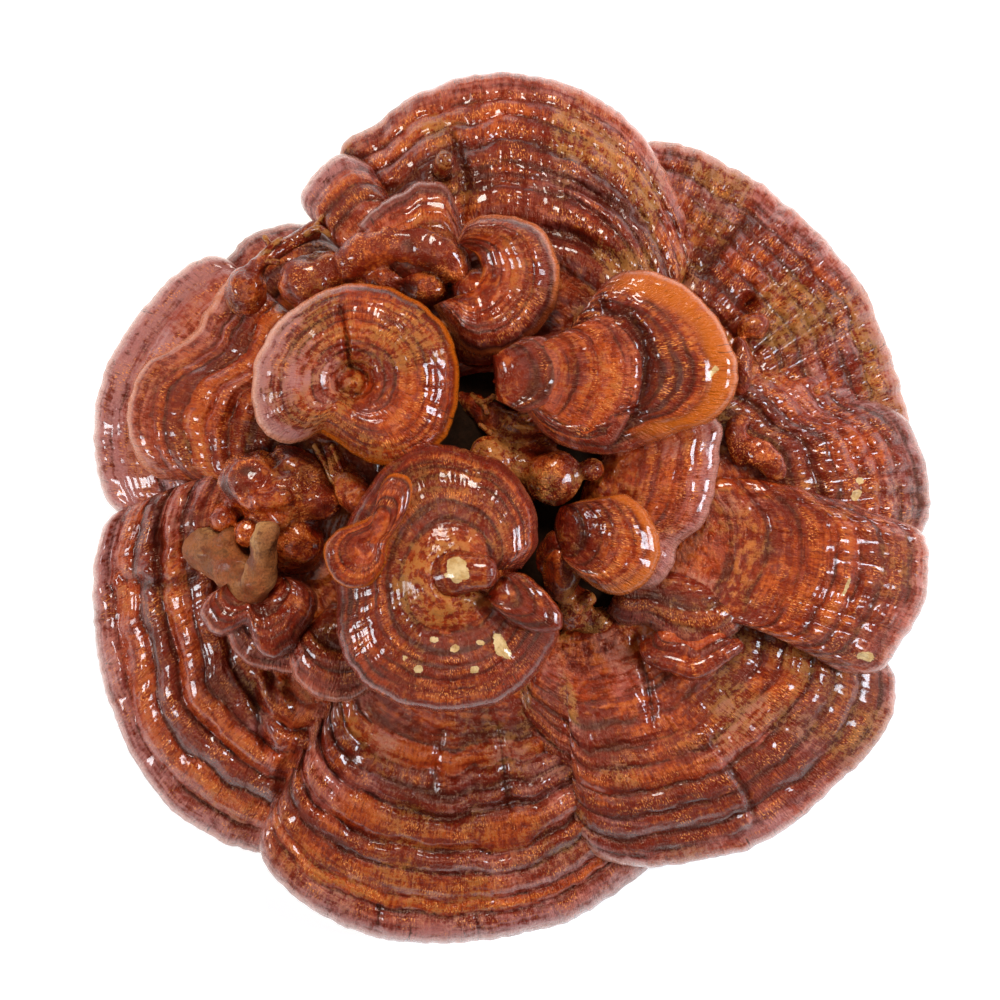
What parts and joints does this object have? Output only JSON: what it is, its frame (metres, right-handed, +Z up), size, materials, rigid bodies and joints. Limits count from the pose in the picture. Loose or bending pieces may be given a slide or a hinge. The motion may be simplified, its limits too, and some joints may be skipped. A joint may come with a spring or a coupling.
{
  "type": "dried reishi mushroom cluster",
  "caption": "Rosette of overlapping glossy, ringed, red-brown bracket caps and small curled lobes on one short shared stem that is cut off flat.",
  "frame": {"origin": "middle of the flat cut under the shared stem", "axes": "+Z up, away from the cut; +X to the right and +Y to the back with the round cap at the back left and the front cap at the front"},
  "size_m": [0.2995, 0.3104, 0.1058],
  "materials": {
    "lacquer_red": "glossy dry reishi skin, ringed red-brown to mahogany",
    "lacquer_orange": "glossy dry reishi skin with a wide orange rim",
    "bark_red": "glossy dry reishi skin with a mauve-grey outer band",
    "stalk_brown": "dull dry tan-brown stalk and lobe skin",
    "stem_dark": "dull dry dark brown stem, cut off flat"
  },
  "bodies": {
    "root": {"stem_base": "stem_dark", "left_back_cap": "bark_red", "left_outer_cap": "bark_red", "upper_right_cap": "bark_red", "lower_left_cap": "lacquer_red", "right_cap": "lacquer_red", "bottom_cap": "lacquer_red", "left_inner_cap": "lacquer_red", "top_cap": "lacquer_red", "lower_right_cap": "lacquer_red", "right_lower_cap": "lacquer_red", "top_left_lobe": "lacquer_red", "dark_red_fan": "lacquer_red", "middle_right_fan": "lacquer_red", "neck_fold": "lacquer_red", "curled_lip": "lacquer_red", "under_fan_left": "lacquer_red", "under_fan_right": "lacquer_red", "knobbly_lobes": "lacquer_red", "finger_stalk": "stalk_brown", "centre_lobes": "stalk_brown", "curled_fold": "lacquer_red", "round_knob": "lacquer_red", "left_shoulder_lobe": "lacquer_red", "right_knob": "lacquer_red", "upper_right_knob": "lacquer_red", "nub_stalk": "stalk_brown", "double_fan": "lacquer_red", "kidney_cap": "lacquer_red", "orange_rim_cap": "lacquer_orange", "round_cap": "lacquer_red", "small_orange_cap": "lacquer_orange", "front_cap": "lacquer_red", "little_cap": "lacquer_red", "curled_flap": "lacquer_orange"}
  },
  "joints": []
}
